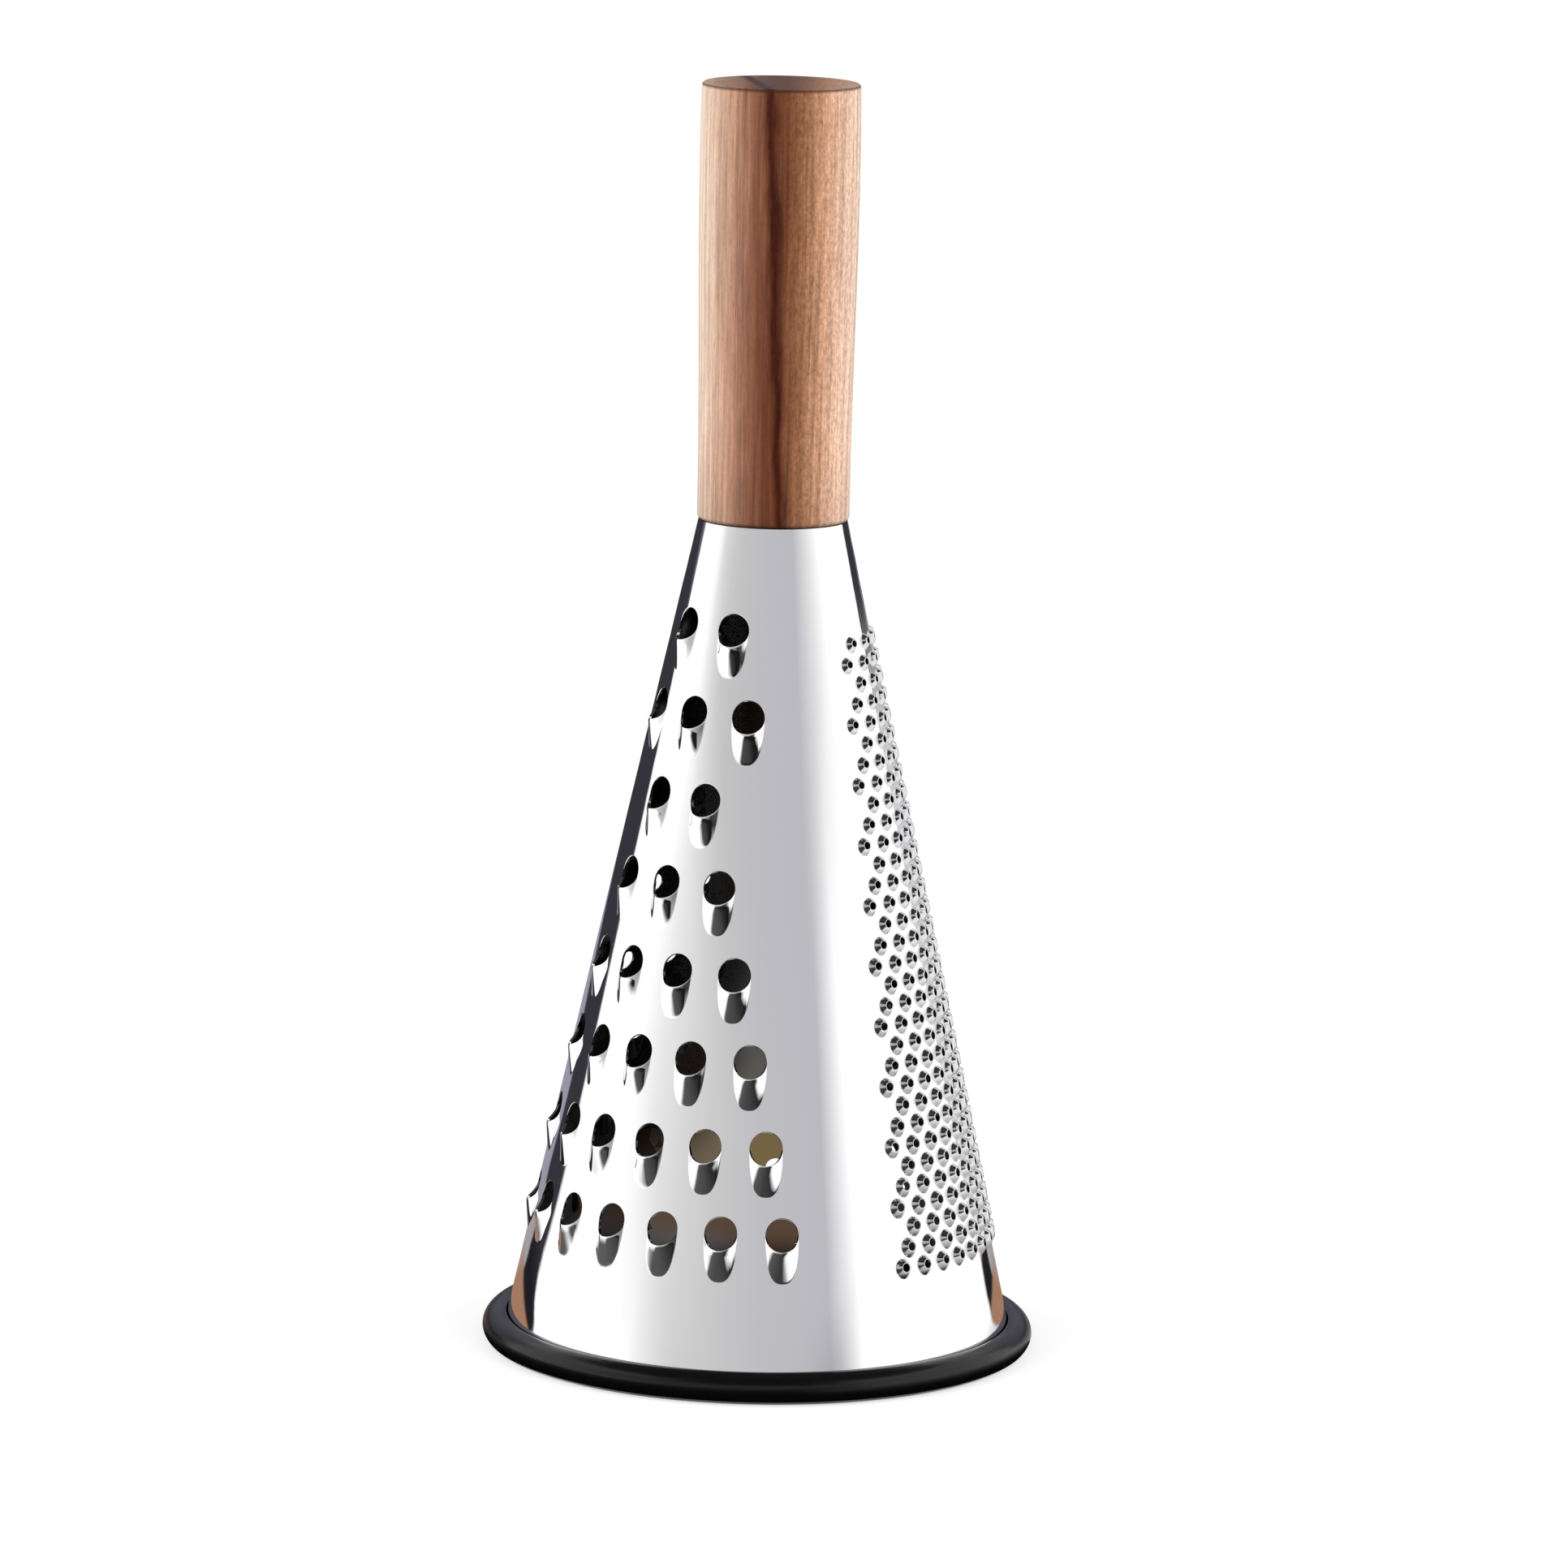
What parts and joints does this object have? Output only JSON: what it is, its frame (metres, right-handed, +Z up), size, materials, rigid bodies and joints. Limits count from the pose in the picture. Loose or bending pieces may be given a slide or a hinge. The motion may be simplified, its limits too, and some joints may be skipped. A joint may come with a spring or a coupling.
{
  "type": "conical cheese grater",
  "caption": "Hand grater: a punched steel cone with coarse, medium and fine teeth, standing on a black rubber foot ring and held by a turned wooden handle.",
  "frame": {"origin": "on the cone's axis, in the plane of the foot ring's flat underside", "axes": "+Z up along the axis to the handle, -Y the pictured front, +X to the right in that view"},
  "size_m": [0.1124, 0.1124, 0.258],
  "materials": {
    "polished_steel": "polished",
    "black_rubber": "satin",
    "handle_wood": "satin",
    "plate_steel": "satin",
    "screw_steel": "satin"
  },
  "bodies": {
    "root": {"grater_cone": "polished_steel", "base_ring": "black_rubber", "handle": "handle_wood", "end_plate": "plate_steel", "handle_screw": "screw_steel"}
  },
  "joints": []
}
